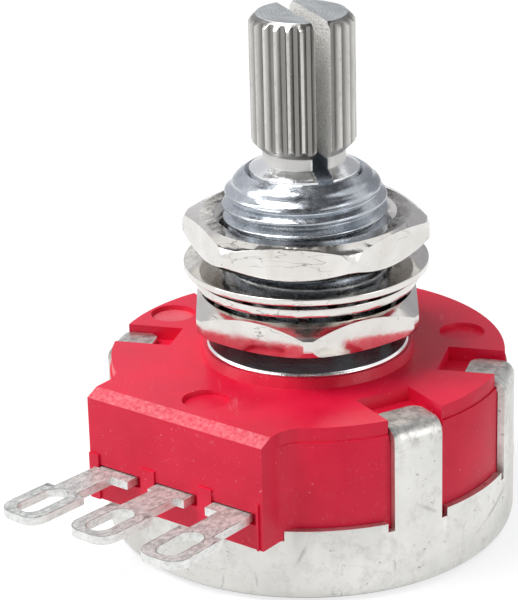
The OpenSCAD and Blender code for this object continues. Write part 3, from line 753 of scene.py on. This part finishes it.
def seen_white(tree, lit, output, white):
    """Camera, mirror and glass rays see plain white; all other light meets the given shader."""
    path = tree.nodes.new("ShaderNodeLightPath")
    seen = path.outputs["Is Camera Ray"]
    for ray in ("Is Glossy Ray", "Is Transmission Ray"):
        either = tree.nodes.new("ShaderNodeMath")
        either.operation = "MAXIMUM"
        tree.links.new(seen, either.inputs[0])
        tree.links.new(path.outputs[ray], either.inputs[1])
        seen = either.outputs[0]
    mix = tree.nodes.new("ShaderNodeMixShader")
    tree.links.new(seen, mix.inputs[0])
    tree.links.new(lit, mix.inputs[1])
    tree.links.new(white, mix.inputs[2])
    tree.links.new(mix.outputs[0], output)


def pale_world():
    world = bpy.data.worlds.new("studio")
    bpy.context.scene.world = world
    world.use_nodes = True
    tree = world.node_tree
    lit = tree.nodes["Background"]
    lit.inputs["Color"].default_value = (0.9, 0.95, 1.0, 1)
    lit.inputs["Strength"].default_value = WORLD_STRENGTH
    white = tree.nodes.new("ShaderNodeBackground")
    white.inputs["Color"].default_value = (1, 1, 1, 1)
    white.inputs["Strength"].default_value = 1.0
    seen_white(tree, lit.outputs[0], tree.nodes["World Output"].inputs["Surface"], white.outputs[0])


def pale_floor():
    """Paper that the camera sees as white, with the object's soft shadow kept on it."""
    material = bpy.data.materials.new("pale_floor")
    material.use_nodes = True
    tree = material.node_tree
    lit = tree.nodes["Principled BSDF"]
    lit.inputs["Base Color"].default_value = (FLOOR_GREY, FLOOR_GREY, FLOOR_GREY, 1)
    lit.inputs["Roughness"].default_value = 0.9
    shadowed = tree.nodes.new("ShaderNodeBsdfDiffuse")
    shadowed.inputs["Color"].default_value = (SHADOW_GREY, SHADOW_GREY, SHADOW_GREY, 1)
    glow = tree.nodes.new("ShaderNodeEmission")
    glow.inputs["Strength"].default_value = FLOOR_GLOW
    white = tree.nodes.new("ShaderNodeAddShader")
    tree.links.new(shadowed.outputs[0], white.inputs[0])
    tree.links.new(glow.outputs[0], white.inputs[1])
    seen_white(tree, lit.outputs[0], tree.nodes["Material Output"].inputs["Surface"], white.outputs[0])
    flat_sheet("floor", FLOOR_SIZE, material)


def camera():
    """The photograph's view, from close by and a little rolled."""
    azimuth, elevation, roll = math.radians(AZIMUTH), math.radians(ELEVATION), math.radians(ROLL)
    right = Vector((math.cos(azimuth), math.sin(azimuth), 0))
    back = Vector((math.sin(azimuth) * math.cos(elevation), -math.cos(azimuth) * math.cos(elevation),
                   math.sin(elevation)))
    aim = right * (AIM_ASIDE * MM) + Vector((0, 0, AIM_HEIGHT * MM))
    side = right * math.cos(roll) + back.cross(right) * math.sin(roll)
    data = bpy.data.cameras.new("camera")
    data.sensor_fit = "HORIZONTAL"
    data.sensor_width = SENSOR_WIDTH
    data.lens = LENS
    data.clip_start = 0.005
    made = bpy.data.objects.new("camera", data)
    turn = Matrix((side, back.cross(side), back)).transposed()
    made.matrix_world = Matrix.Translation(aim + back * DISTANCE) @ turn.to_4x4()
    bpy.context.scene.collection.objects.link(made)
    bpy.context.scene.camera = made


# Assembly.

red = red_plastic()
tin = tinned_can()
nickel = bright_nickel("bright_nickel")
zinc = zinc_bushing()
paint(red, "housing")
paint(tin, "metal_can")
paint(nickel, "lower_nut", "upper_nut", "flat_washer")
paint(bright_nickel("toothed_nickel", shaded_teeth=True), "lock_washer")
paint(shaft_metal(), "splined_shaft")
for i, side in enumerate(("left", "middle", "right")):
    pivot = (LUG_X + (i - 1) * LUG_PITCH + LUG_SHIFT[i], LUG_PIVOT_Y, LUG_MID_Z)
    paint(tinned_lug("tinned_lug_" + side, pivot, LUG_RISE[i], LUG_TURN[i]), "terminal_" + side)
    soften("terminal_" + side, LUG_BEVEL, sheet=True)
for name, dark, light, metallic, rough, scale, nodes in INSIDE:
    paint(plain(name, dark, light, metallic, rough, scale), *nodes)
for node, width in BEVELS.items():
    soften(node, width)

thread = threaded_bushing(zinc)
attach(thread, "frame")
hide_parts("threaded_bushing")

nut = flipped_nut(nickel)
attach(nut, "frame")
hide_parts("lower_nut")

pale_world()
pale_floor()
for name, place, size, shade in CARDS:
    room_card(name, place, size, shade)
for name, place, aim, size, power in LAMPS:
    softbox(name, place, aim, size, power)
camera()

bpy.context.scene.view_settings.view_transform = "Standard"
